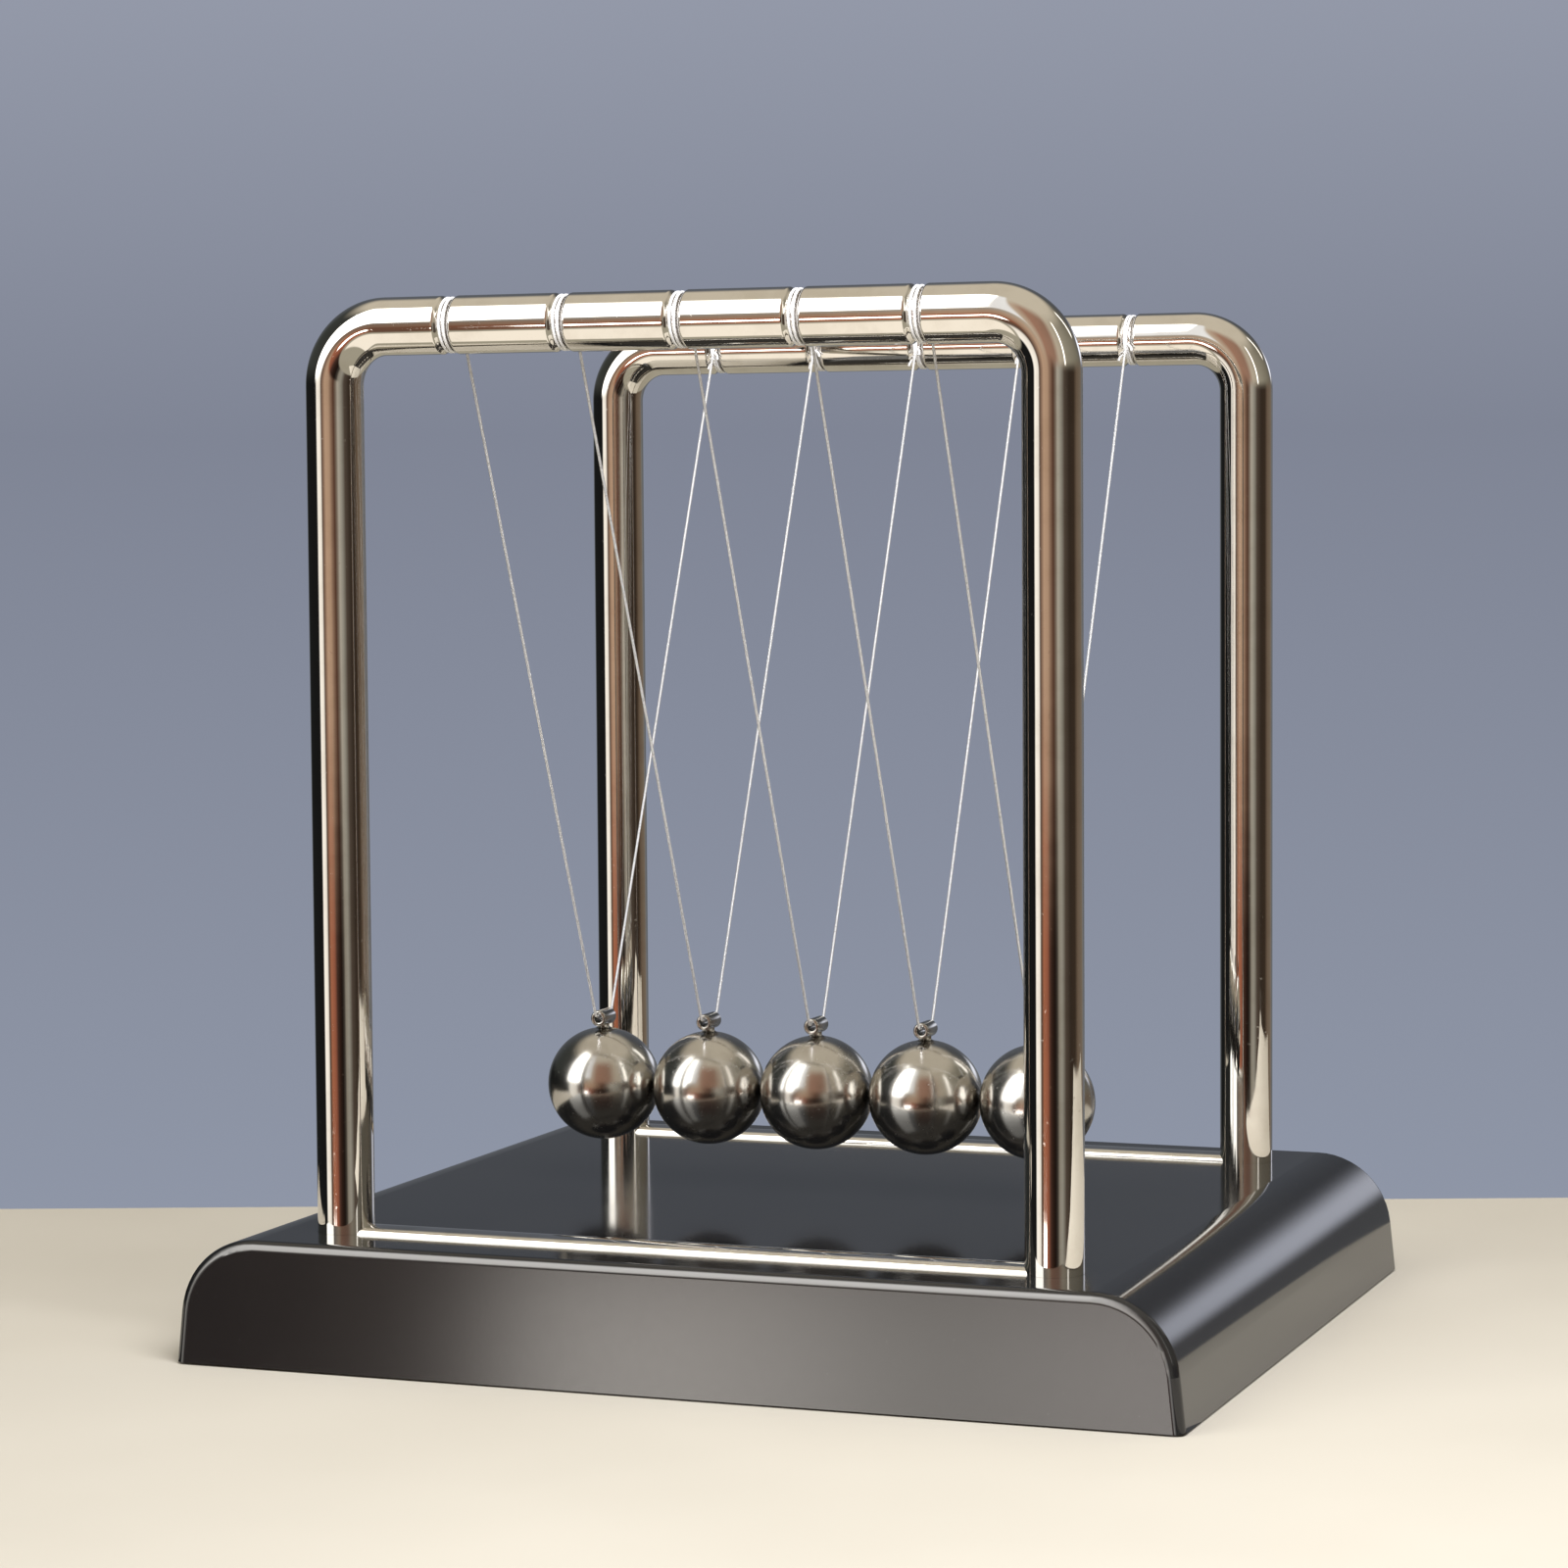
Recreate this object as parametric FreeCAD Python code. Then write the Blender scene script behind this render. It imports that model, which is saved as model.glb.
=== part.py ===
# Desk pendulum cradle: five steel balls hang on nylon lines between two bent rod frames on a moulded base.
# Units are millimetres. X runs along the row of balls, Y from front to back and Z up.
# The origin is at the centre of the footprint, at the underside of the foot pads.
import FreeCAD, Part
import math
import os

# Base moulding
BASE_LENGTH = 145.0
BASE_DEPTH = 125.0
BASE_TOP = 17.9
BASE_BOTTOM = 0.3
SHOULDER_RADIUS = 11.5
END_DRAFT = math.radians(6.0)
FACE_EDGE_RADIUS = 1.4
WALL = 2.4

# Bosses and ribs that carry the frames
BOSS_RADIUS = 7.0
SOCKET_RADIUS = 4.05
SOCKET_BOTTOM = 6.6
BOSS_FLOOR = 2.0
SCREW_HOLE_RADIUS = 1.7
COUNTERBORE_RADIUS = 4.0
RIB_WIDTH = 7.6
RIB_BOTTOM = 9.0
JOIN_OVERLAP = 1.0

# Foot pads
PAD_RADIUS = 6.2
PAD_THICKNESS = 1.0
PAD_RECESS_RADIUS = 6.3

# Bent rod frames
ROD_RADIUS = 4.0
LEG_X = 51.7
FRAME_Y = 50.2
RAIL_Z = 143.6
BEND_RADIUS = 8.0
GROOVE_NECK_RADIUS = 3.45
GROOVE_FLOOR_HALF_WIDTH = 0.5
GROOVE_MOUTH_HALF_WIDTH = 1.2
TAPPED_HOLE_RADIUS = 1.5
TAPPED_HOLE_DEPTH = 9.0

# Bright bars let into the base between the feet of each frame
BAR_HALF_WIDTH = 2.75
BAR_PROUD = 1.1
BAR_SUNK = 1.4
CHANNEL_CLEARANCE = 0.05
COPE_CLEARANCE = 0.03

# Frame screws and washers
SCREW_RADIUS = 1.46
SCREW_HEAD_RADIUS = 2.8
SCREW_HEAD_HEIGHT = 2.2
SCREW_REACH = 7.5
DRIVE_WIDTH = 0.8
DRIVE_LENGTH = 3.0
DRIVE_DEPTH = 1.0
WASHER_RADIUS = 3.6
WASHER_HOLE_RADIUS = 1.6
WASHER_THICKNESS = 0.8

# Balls and the tube eyelets on top of them
BALL_COUNT = 5
BALL_PITCH = 16.9
BALL_RADIUS = 8.35
BALL_Z = 32.9
BALL_FLAT_DEPTH = 0.06
EYELET_RADIUS = 1.2
EYELET_HOLE_RADIUS = 0.55
EYELET_LENGTH = 4.4
EYELET_END_ROUND = 0.25
EYELET_FOOT_RADIUS = 0.9
EYELET_LIFT = 0.3

# Nylon lines
LINE_RADIUS = 0.2
LINE_BEND_RADIUS = 0.8
LINE_MOUTH_GAP = 0.1
KNOT_RADIUS = 0.45
KNOT_FROM_RAIL_AXIS = 4.45
KNOT_ANGLE = math.radians(-25.0)
LOOP_RADIUS = 3.65
LOOP_TURN_OFFSET = 0.22

ALONG_X = FreeCAD.Vector(1, 0, 0)
ALONG_Y = FreeCAD.Vector(0, 1, 0)
ALONG_Z = FreeCAD.Vector(0, 0, 1)

LEGS = [(x, y) for y in (-FRAME_Y, FRAME_Y) for x in (-LEG_X, LEG_X)]
LEG_NAMES = ["front_left", "front_right", "back_left", "back_right"]
BALL_X = [(number - (BALL_COUNT - 1) / 2) * BALL_PITCH for number in range(BALL_COUNT)]
BALL_TOP = BALL_Z + BALL_RADIUS - BALL_FLAT_DEPTH
EYELET_Z = BALL_Z + BALL_RADIUS + EYELET_LIFT + EYELET_RADIUS
KNOT_Y = FRAME_Y - KNOT_FROM_RAIL_AXIS * math.cos(KNOT_ANGLE)
KNOT_Z = RAIL_Z + KNOT_FROM_RAIL_AXIS * math.sin(KNOT_ANGLE)


def save(node, shape):
    shape.exportStep("parts/" + node + ".step")


def upright_cylinder(radius, low, high, x, y):
    return Part.makeCylinder(radius, high - low, FreeCAD.Vector(x, y, low), ALONG_Z)


def centred_box(size_x, size_y, low, high, x, y):
    corner = FreeCAD.Vector(x - size_x / 2, y - size_y / 2, low)
    return Part.makeBox(size_x, size_y, high - low, corner)


def polyline_face(points):
    return Part.Face(Part.makePolygon(points + points[:1]))


def base_profile(inset, bottom, y):
    """Side outline of the base: drafted end, quarter-round shoulder and flat top, moved in by inset."""
    centre_z = BASE_TOP - SHOULDER_RADIUS
    tangent_rise = centre_z + SHOULDER_RADIUS * math.sin(END_DRAFT) - BASE_BOTTOM
    shoulder_run = SHOULDER_RADIUS * math.cos(END_DRAFT) + tangent_rise * math.tan(END_DRAFT)
    centre_x = BASE_LENGTH / 2 - shoulder_run
    radius = SHOULDER_RADIUS - inset

    def arc_point(angle, side):
        x = centre_x + radius * math.cos(angle)
        return FreeCAD.Vector(side * x, y, centre_z + radius * math.sin(angle))

    middle_angle = (math.pi / 2 + END_DRAFT) / 2
    right_low = arc_point(END_DRAFT, 1)
    left_low = arc_point(END_DRAFT, -1)
    right_top = arc_point(math.pi / 2, 1)
    left_top = arc_point(math.pi / 2, -1)
    foot_x = right_low.x + (right_low.z - bottom) * math.tan(END_DRAFT)
    right_foot = FreeCAD.Vector(foot_x, y, bottom)
    left_foot = FreeCAD.Vector(-foot_x, y, bottom)
    edges = [
        Part.makeLine(right_foot, right_low),
        Part.Arc(right_low, arc_point(middle_angle, 1), right_top).toShape(),
        Part.makeLine(right_top, left_top),
        Part.Arc(left_top, arc_point(middle_angle, -1), left_low).toShape(),
        Part.makeLine(left_low, left_foot),
        Part.makeLine(left_foot, right_foot),
    ]
    return Part.Face(Part.Wire(edges))


def outer_block():
    """Solid base block with the outline edges of its front and back faces rounded."""
    half_depth = BASE_DEPTH / 2
    block = base_profile(0, BASE_BOTTOM, -half_depth).extrude(ALONG_Y * BASE_DEPTH)
    rounded = []
    for edge in block.Edges:
        on_face = abs(abs(edge.CenterOfMass.y) - half_depth) < 0.001
        above_rim = edge.BoundBox.ZMax > BASE_BOTTOM + 0.001
        if on_face and above_rim:
            rounded.append(edge)
    return block.makeFillet(FACE_EDGE_RADIUS, rounded)


def base_shell():
    """Moulding open underneath, with a boss for each leg and a rib under each bright bar."""
    inner_depth = BASE_DEPTH - 2 * WALL
    cavity = base_profile(WALL, BASE_BOTTOM - JOIN_OVERLAP, -inner_depth / 2).extrude(ALONG_Y * inner_depth)
    shell = outer_block().cut(cavity)
    join_height = BASE_TOP - JOIN_OVERLAP
    bosses = [upright_cylinder(BOSS_RADIUS, BASE_BOTTOM, join_height, x, y) for x, y in LEGS]
    ribs = [centred_box(2 * LEG_X, RIB_WIDTH, RIB_BOTTOM, join_height, 0, y) for y in (-FRAME_Y, FRAME_Y)]
    shell = shell.fuse(bosses + ribs)
    cutters = []
    for x, y in LEGS:
        floor_bottom = SOCKET_BOTTOM - BOSS_FLOOR
        cutters.append(upright_cylinder(SOCKET_RADIUS, SOCKET_BOTTOM, BASE_TOP + JOIN_OVERLAP, x, y))
        cutters.append(upright_cylinder(SCREW_HOLE_RADIUS, BASE_BOTTOM, SOCKET_BOTTOM, x, y))
        cutters.append(upright_cylinder(COUNTERBORE_RADIUS, BASE_BOTTOM, floor_bottom, x, y))
        cutters.append(upright_cylinder(PAD_RECESS_RADIUS, BASE_BOTTOM - JOIN_OVERLAP, PAD_THICKNESS, x, y))
    channel_width = 2 * (BAR_HALF_WIDTH + CHANNEL_CLEARANCE)
    channel_floor = BASE_TOP - BAR_SUNK
    for y in (-FRAME_Y, FRAME_Y):
        cutters.append(centred_box(2 * LEG_X, channel_width, channel_floor, BASE_TOP + JOIN_OVERLAP, 0, y))
    return shell.cut(cutters).removeSplitter()


def foot_pad(x, y):
    return upright_cylinder(PAD_RADIUS, 0, PAD_THICKNESS, x, y)


def foot_bar(y):
    """Low bar with vertical sides in its channel and an arched top, coped to the legs at both ends."""
    low = BASE_TOP - BAR_SUNK
    left_low = FreeCAD.Vector(-LEG_X, y - BAR_HALF_WIDTH, low)
    right_low = FreeCAD.Vector(-LEG_X, y + BAR_HALF_WIDTH, low)
    right_high = FreeCAD.Vector(-LEG_X, y + BAR_HALF_WIDTH, BASE_TOP)
    left_high = FreeCAD.Vector(-LEG_X, y - BAR_HALF_WIDTH, BASE_TOP)
    crown = FreeCAD.Vector(-LEG_X, y, BASE_TOP + BAR_PROUD)
    edges = [
        Part.makeLine(left_low, right_low),
        Part.makeLine(right_low, right_high),
        Part.Arc(right_high, crown, left_high).toShape(),
        Part.makeLine(left_high, left_low),
    ]
    bar = Part.Face(Part.Wire(edges)).extrude(ALONG_X * (2 * LEG_X))
    cope_radius = ROD_RADIUS + COPE_CLEARANCE
    legs = [upright_cylinder(cope_radius, 0, RAIL_Z, x, y) for x in (-LEG_X, LEG_X)]
    return bar.cut(legs)


def groove_cutter(x, y):
    """Ring that turns one line groove into the top rail."""
    outside = ROD_RADIUS + JOIN_OVERLAP
    slope = (GROOVE_MOUTH_HALF_WIDTH - GROOVE_FLOOR_HALF_WIDTH) / (ROD_RADIUS - GROOVE_NECK_RADIUS)
    outside_half_width = GROOVE_FLOOR_HALF_WIDTH + slope * (outside - GROOVE_NECK_RADIUS)
    points = [
        FreeCAD.Vector(x - GROOVE_FLOOR_HALF_WIDTH, y, RAIL_Z + GROOVE_NECK_RADIUS),
        FreeCAD.Vector(x + GROOVE_FLOOR_HALF_WIDTH, y, RAIL_Z + GROOVE_NECK_RADIUS),
        FreeCAD.Vector(x + outside_half_width, y, RAIL_Z + outside),
        FreeCAD.Vector(x - outside_half_width, y, RAIL_Z + outside),
    ]
    return polyline_face(points).revolve(FreeCAD.Vector(x, y, RAIL_Z), ALONG_X, 360)


def frame_path(y):
    """Centre line of one frame: left leg, bend, top rail, bend and right leg."""
    bend_drop = BEND_RADIUS * (1 - math.sin(math.pi / 4))

    def bend(side):
        low = FreeCAD.Vector(side * LEG_X, y, RAIL_Z - BEND_RADIUS)
        middle = FreeCAD.Vector(side * (LEG_X - bend_drop), y, RAIL_Z - bend_drop)
        high = FreeCAD.Vector(side * (LEG_X - BEND_RADIUS), y, RAIL_Z)
        return low, middle, high

    left_low, left_middle, left_high = bend(-1)
    right_low, right_middle, right_high = bend(1)
    return Part.Wire([
        Part.makeLine(FreeCAD.Vector(-LEG_X, y, SOCKET_BOTTOM), left_low),
        Part.Arc(left_low, left_middle, left_high).toShape(),
        Part.makeLine(left_high, right_high),
        Part.Arc(right_high, right_middle, right_low).toShape(),
        Part.makeLine(right_low, FreeCAD.Vector(LEG_X, y, SOCKET_BOTTOM)),
    ])


def frame(y):
    """Solid rod bent into an upside-down U, grooved for the lines and tapped in both ends."""
    start = FreeCAD.Vector(-LEG_X, y, SOCKET_BOTTOM)
    section = Part.Face(Part.Wire(Part.makeCircle(ROD_RADIUS, start, ALONG_Z)))
    rod = frame_path(y).makePipe(section)
    hole_top = SOCKET_BOTTOM + TAPPED_HOLE_DEPTH
    holes = [upright_cylinder(TAPPED_HOLE_RADIUS, SOCKET_BOTTOM, hole_top, x, y) for x in (-LEG_X, LEG_X)]
    grooves = [groove_cutter(x, y) for x in BALL_X]
    return rod.cut(holes + grooves)


def leg_screw(x, y):
    """Pan-head screw driven up through the boss floor into the end of a leg."""
    head_top = SOCKET_BOTTOM - BOSS_FLOOR - WASHER_THICKNESS
    head_bottom = head_top - SCREW_HEAD_HEIGHT
    head = upright_cylinder(SCREW_HEAD_RADIUS, head_bottom, head_top, x, y)
    shank = upright_cylinder(SCREW_RADIUS, head_top, SOCKET_BOTTOM + SCREW_REACH, x, y)
    slot_top = head_bottom + DRIVE_DEPTH
    slots = [
        centred_box(DRIVE_LENGTH, DRIVE_WIDTH, head_bottom, slot_top, x, y),
        centred_box(DRIVE_WIDTH, DRIVE_LENGTH, head_bottom, slot_top, x, y),
    ]
    return head.fuse(shank).cut(slots)


def leg_washer(x, y):
    top = SOCKET_BOTTOM - BOSS_FLOOR
    disc = upright_cylinder(WASHER_RADIUS, top - WASHER_THICKNESS, top, x, y)
    return disc.cut(upright_cylinder(WASHER_HOLE_RADIUS, top - WASHER_THICKNESS, top, x, y))


def ball(x):
    """Polished ball with a very small flat on top for the eyelet's foot."""
    sphere = Part.makeSphere(BALL_RADIUS, FreeCAD.Vector(x, 0, BALL_Z))
    cap = centred_box(BALL_RADIUS, BALL_RADIUS, BALL_TOP, BALL_TOP + BALL_RADIUS, x, 0)
    return sphere.cut(cap)


def eyelet(x):
    """Short tube lying from front to back on a round foot."""
    start = FreeCAD.Vector(x, -EYELET_LENGTH / 2, EYELET_Z)
    tube = Part.makeCylinder(EYELET_RADIUS, EYELET_LENGTH, start, ALONG_Y)
    tube = tube.makeFillet(EYELET_END_ROUND, [edge for edge in tube.Edges if edge.BoundBox.YLength < 0.001])
    foot = upright_cylinder(EYELET_FOOT_RADIUS, BALL_TOP, EYELET_Z, x, 0)
    hole = Part.makeCylinder(EYELET_HOLE_RADIUS, EYELET_LENGTH, start, ALONG_Y)
    return tube.fuse(foot).cut(hole)


def line_path(x):
    """V-shaped route: front knot, down to the eyelet, through it, and up to the back knot."""
    low_z = EYELET_Z + EYELET_HOLE_RADIUS - LINE_RADIUS
    mouth_y = EYELET_LENGTH / 2 + LINE_MOUTH_GAP
    centre_z = low_z + LINE_BEND_RADIUS
    rise = KNOT_Z - centre_z
    reach = KNOT_Y - mouth_y
    tangent_distance = math.sqrt(rise ** 2 + reach ** 2 - LINE_BEND_RADIUS ** 2)
    slope = math.atan2(rise, reach) + math.atan2(LINE_BEND_RADIUS, tangent_distance)

    def arc_point(turn, side):
        y = mouth_y + LINE_BEND_RADIUS * math.sin(turn)
        return FreeCAD.Vector(x, side * y, centre_z - LINE_BEND_RADIUS * math.cos(turn))

    front_knot = FreeCAD.Vector(x, -KNOT_Y, KNOT_Z)
    back_knot = FreeCAD.Vector(x, KNOT_Y, KNOT_Z)
    return Part.Wire([
        Part.makeLine(front_knot, arc_point(slope, -1)),
        Part.Arc(arc_point(slope, -1), arc_point(slope / 2, -1), arc_point(0, -1)).toShape(),
        Part.makeLine(arc_point(0, -1), arc_point(0, 1)),
        Part.Arc(arc_point(0, 1), arc_point(slope / 2, 1), arc_point(slope, 1)).toShape(),
        Part.makeLine(arc_point(slope, 1), back_knot),
    ])


def line(x):
    """Nylon line with a round knot at each end, centred on the swing axis."""
    path = line_path(x)
    front_knot = FreeCAD.Vector(x, -KNOT_Y, KNOT_Z)
    back_knot = FreeCAD.Vector(x, KNOT_Y, KNOT_Z)
    direction = path.Edges[0].tangentAt(path.Edges[0].FirstParameter)
    section = Part.Face(Part.Wire(Part.makeCircle(LINE_RADIUS, front_knot, direction)))
    knots = [Part.makeSphere(KNOT_RADIUS, centre) for centre in (front_knot, back_knot)]
    return path.makePipe(section).fuse(knots)


def line_loop(x, y):
    """Two turns of line wound side by side in a rail groove."""
    turns = []
    for side in (-1, 1):
        centre = FreeCAD.Vector(x + side * LOOP_TURN_OFFSET, y, RAIL_Z)
        turns.append(Part.makeTorus(LOOP_RADIUS, LINE_RADIUS, centre, ALONG_X))
    return Part.Compound(turns)


def build():
    os.makedirs("parts", exist_ok=True)
    save("base_shell", base_shell())
    for name, (x, y) in zip(LEG_NAMES, LEGS):
        save("foot_pad_" + name, foot_pad(x, y))
    save("leg_screws", Part.Compound([leg_screw(x, y) for x, y in LEGS]))
    save("leg_washers", Part.Compound([leg_washer(x, y) for x, y in LEGS]))
    for name, y in (("front", -FRAME_Y), ("back", FRAME_Y)):
        save(name + "_frame", frame(y))
        save(name + "_foot_bar", foot_bar(y))
    for number, x in enumerate(BALL_X, start=1):
        save("ball_" + str(number), ball(x))
        save("eyelet_" + str(number), eyelet(x))
        save("line_" + str(number), line(x))
        save("front_loop_" + str(number), line_loop(x, -FRAME_Y))
        save("back_loop_" + str(number), line_loop(x, FRAME_Y))


build()
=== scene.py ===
import math
import random

import bpy
from mathutils import Matrix, Vector


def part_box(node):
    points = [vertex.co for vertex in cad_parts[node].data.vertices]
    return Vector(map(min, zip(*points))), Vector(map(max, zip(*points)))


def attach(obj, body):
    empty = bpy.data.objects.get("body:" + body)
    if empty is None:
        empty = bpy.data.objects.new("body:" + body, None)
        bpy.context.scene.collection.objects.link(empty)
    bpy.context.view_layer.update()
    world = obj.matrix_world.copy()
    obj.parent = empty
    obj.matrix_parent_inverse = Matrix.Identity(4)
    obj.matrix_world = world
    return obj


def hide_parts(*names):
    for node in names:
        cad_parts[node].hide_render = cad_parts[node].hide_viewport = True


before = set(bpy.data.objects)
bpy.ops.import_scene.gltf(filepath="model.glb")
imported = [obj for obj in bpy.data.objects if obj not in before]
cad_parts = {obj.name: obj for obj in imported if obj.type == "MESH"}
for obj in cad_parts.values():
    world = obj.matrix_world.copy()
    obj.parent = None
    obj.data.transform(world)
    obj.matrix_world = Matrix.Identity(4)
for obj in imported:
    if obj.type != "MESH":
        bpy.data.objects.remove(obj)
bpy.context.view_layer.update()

# Everything is in metres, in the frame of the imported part: X along the balls, Y front to back, Z up.
MM = 0.001

# Fineness of the round pieces
ROD_SIDES = 96
BEND_STEPS = 30
GROOVE_STEPS = 10
BALL_SIDES = 128
BALL_RINGS = 72
TUBE_SIDES = 48
THREAD_SIDES = 14
SHARP_ANGLE = math.radians(40)

# Rod frames: sizes that the boxes of the nodes don't give
BEND_RADIUS = 8.0 * MM
GROOVE_DEPTH = 0.55 * MM
GROOVE_FLOOR_HALF_WIDTH = 0.5 * MM
GROOVE_MOUTH_HALF_WIDTH = 1.3 * MM
TAPPED_HOLE_RADIUS = 1.5 * MM
TAPPED_HOLE_DEPTH = 9.0 * MM
ROD_END_CHAMFER = 0.35 * MM
# Extra rings beside bends and grooves keep the straight stretches smoothly shaded
STRAIGHT_GUARD = 0.3 * MM
GROOVE_GUARDS = 2

# Foot bars
BAR_CROWN = 1.1 * MM
BAR_ARC_STEPS = 14
BAR_END_CUTS = 12
COPE_CLEARANCE = 0.03 * MM

# Eyelets
EYELET_HOLE_RADIUS = 0.55 * MM
EYELET_END_ROUND = 0.3 * MM
EYELET_FOOT_RADIUS = 0.85 * MM
EYELET_WELD_WIDTH = 0.35 * MM
# Height on the weld, and the share of its width that is left there
EYELET_WELD_SLOPE = ((0.0, 1.0), (0.07 * MM, 0.6), (0.18 * MM, 0.2), (0.32 * MM, 0.0))
EYELET_FOOT_SUNK = 0.75 * MM
EYELET_ROUND_STEPS = 6
BALL_FLAT_DEPTH = 0.06 * MM

# Nylon
LINE_RADIUS = 0.2 * MM
LINE_BEND_RADIUS = 0.8 * MM
LINE_MOUTH_GAP = 0.1 * MM
LINE_BEND_STEPS = 8
KNOT_SCALE = 0.105 * MM
KNOT_THREAD_RADIUS = 0.16 * MM
KNOT_STEPS = 48
KNOT_FROM_RAIL_AXIS = 4.45 * MM
KNOT_ANGLE = math.radians(-25)
WINDING_RADIUS = 3.65 * MM
WINDING_TURNS = 2.07
WINDING_HALF_WIDTH = 0.36 * MM
WINDING_STEPS = 96
WINDING_JITTER = 0.02 * MM
WINDING_START = KNOT_ANGLE - math.radians(12)
TAG_LENGTH = 1.7 * MM
TAG_RADIUS = 0.19 * MM
TAG_START_LIFT = 0.02 * MM
TAG_BOW = 0.15 * MM
TAG_STEPS = 5

STAND = "stand"
BALLS = range(1, 6)
SIDES = ("front", "back")


# ---------------------------------------------------------------- meshes

def add_piece(name, points, faces, material, body, replaced):
    """Makes a smooth-shaded mesh piece that rides on a body and stands for a CAD node."""
    mesh = bpy.data.meshes.new(name)
    mesh.from_pydata([tuple(p) for p in points], [], faces)
    mesh.polygons.foreach_set("use_smooth", [True] * len(faces))
    mesh.set_sharp_from_angle(angle=SHARP_ANGLE)
    mesh.materials.append(material)
    mesh.validate()
    piece = bpy.data.objects.new(name, mesh)
    bpy.context.scene.collection.objects.link(piece)
    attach(piece, body)
    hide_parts(replaced)
    return piece


def join_shells(shells):
    """Joins several lists of points and faces into one."""
    points, faces = [], []
    for shell_points, shell_faces in shells:
        shift = len(points)
        points += shell_points
        faces += [tuple(index + shift for index in face) for face in shell_faces]
    return points, faces


def skin(rings):
    """Closed surface through rings of equal count; a ring of one point closes an end."""
    points, faces, starts = [], [], []
    for ring in rings:
        starts.append(len(points))
        points += ring
    for low, high, first, second in zip(rings, rings[1:], starts, starts[1:]):
        count = max(len(low), len(high))
        for i in range(count):
            j = (i + 1) % count
            if len(low) == 1:
                faces.append((first, second + i, second + j))
            elif len(high) == 1:
                faces.append((first + i, second, first + j))
            else:
                faces.append((first + i, second + i, second + j, first + j))
    return points, faces


def ring_round(centre, across, along, radius, sides):
    """Points on a circle about centre, in the plane of two unit vectors."""
    if radius <= 0:
        return [Vector(centre)]
    turns = [2 * math.pi * i / sides for i in range(sides)]
    return [centre + (across * math.cos(t) + along * math.sin(t)) * radius for t in turns]


def lathe(centre, axis, across, profile, sides):
    """Surface of revolution: the profile lists (height along the axis, radius)."""
    other = axis.cross(across)
    rings = [ring_round(centre + axis * height, across, other, radius, sides) for height, radius in profile]
    return skin(rings)


def thread(path, radius):
    """Round tube along a list of points, with rounded ends."""
    directions = []
    for i in range(len(path)):
        step = path[min(i + 1, len(path) - 1)] - path[max(i - 1, 0)]
        directions.append(step.normalized())
    across = directions[0].orthogonal().normalized()
    rings = [[path[0] - directions[0] * radius * 0.5]]
    for point, direction in zip(path, directions):
        across = (across - direction * across.dot(direction)).normalized()
        rings.append(ring_round(point, across, direction.cross(across), radius, THREAD_SIDES))
    rings.append([path[-1] + directions[-1] * radius * 0.5])
    return skin(rings)


def smooth_step(value):
    value = min(1.0, max(0.0, value))
    return value * value * (3 - 2 * value)


# ---------------------------------------------------------------- materials

CHROME_RIPPLE = 0.010 * MM
BAR_RIPPLE = 0.012 * MM
BALL_RIPPLE = 0.003 * MM
SPECK_DULLNESS = 0.12
MOULDING_DARK = (0.0065, 0.0065, 0.0070)
MOULDING_PALE = (0.0090, 0.0088, 0.0088)
MOULDING_GRAIN = 0.0008 * MM
DUST_COLOUR = (0.06, 0.058, 0.055)
DUST_DULLNESS = 0.25
# Pale colour painted along the moulding's top edges as a highlight
PAINTED_EDGE_HIGHLIGHT = (0.15, 0.148, 0.142)
RUBBER_GRAIN = 0.08 * MM
FINE_MARKS = 0.01 * MM
PLASTIC_IOR = 1.53
HANGING_CLEARNESS = 0.75
WOUND_CLEARNESS = 0.3


def node(tree, kind, inputs=None, **settings):
    """Adds a shader node; an input is a value or another node's output socket."""
    made = tree.nodes.new("ShaderNode" + kind)
    for name, value in settings.items():
        setattr(made, name, value)
    for key, value in (inputs or {}).items():
        if isinstance(value, bpy.types.NodeSocket):
            tree.links.new(value, made.inputs[key])
        else:
            made.inputs[key].default_value = value
    return made


def math_node(tree, operation, first, second=0.0):
    return node(tree, "Math", {0: first, 1: second}, operation=operation).outputs[0]


def ramp(tree, factor, stops):
    """Linear colour ramp from (position, colour) stops."""
    made = node(tree, "ValToRGB", {"Fac": factor})
    elements = made.color_ramp.elements
    while len(elements) < len(stops):
        elements.new(0.5)
    for element, (position, _) in zip(elements, stops):
        element.position = position
    for element, (_, colour) in zip(elements, stops):
        element.color = (*colour, 1.0)
    return made.outputs["Color"]


def map_range(tree, value, low, high, new_low=0.0, new_high=1.0, kind="SMOOTHSTEP"):
    settings = {"From Min": low, "From Max": high, "To Min": new_low, "To Max": new_high, "Value": value}
    return node(tree, "MapRange", settings, interpolation_type=kind).outputs["Result"]


def noise(tree, scale, detail=3.0, roughness=0.5):
    """Noise in the part's own frame, at a scale of so many lumps in a metre."""
    place = node(tree, "TexCoord").outputs["Object"]
    settings = {"Vector": place, "Scale": scale, "Detail": detail, "Roughness": roughness}
    return node(tree, "TexNoise", settings).outputs["Fac"]


def bump(tree, height, distance):
    return node(tree, "Bump", {"Height": height, "Distance": distance, "Strength": 1.0}).outputs["Normal"]


def mix(tree, factor, first, second):
    """Blend of two colours, each a value or another node's output socket."""
    made = node(tree, "Mix", {"Factor": factor}, data_type="RGBA")
    for key, value in (("A", first), ("B", second)):
        if isinstance(value, bpy.types.NodeSocket):
            tree.links.new(value, made.inputs[key])
        else:
            made.inputs[key].default_value = (*value, 1)
    return made.outputs["Result"]


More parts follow.
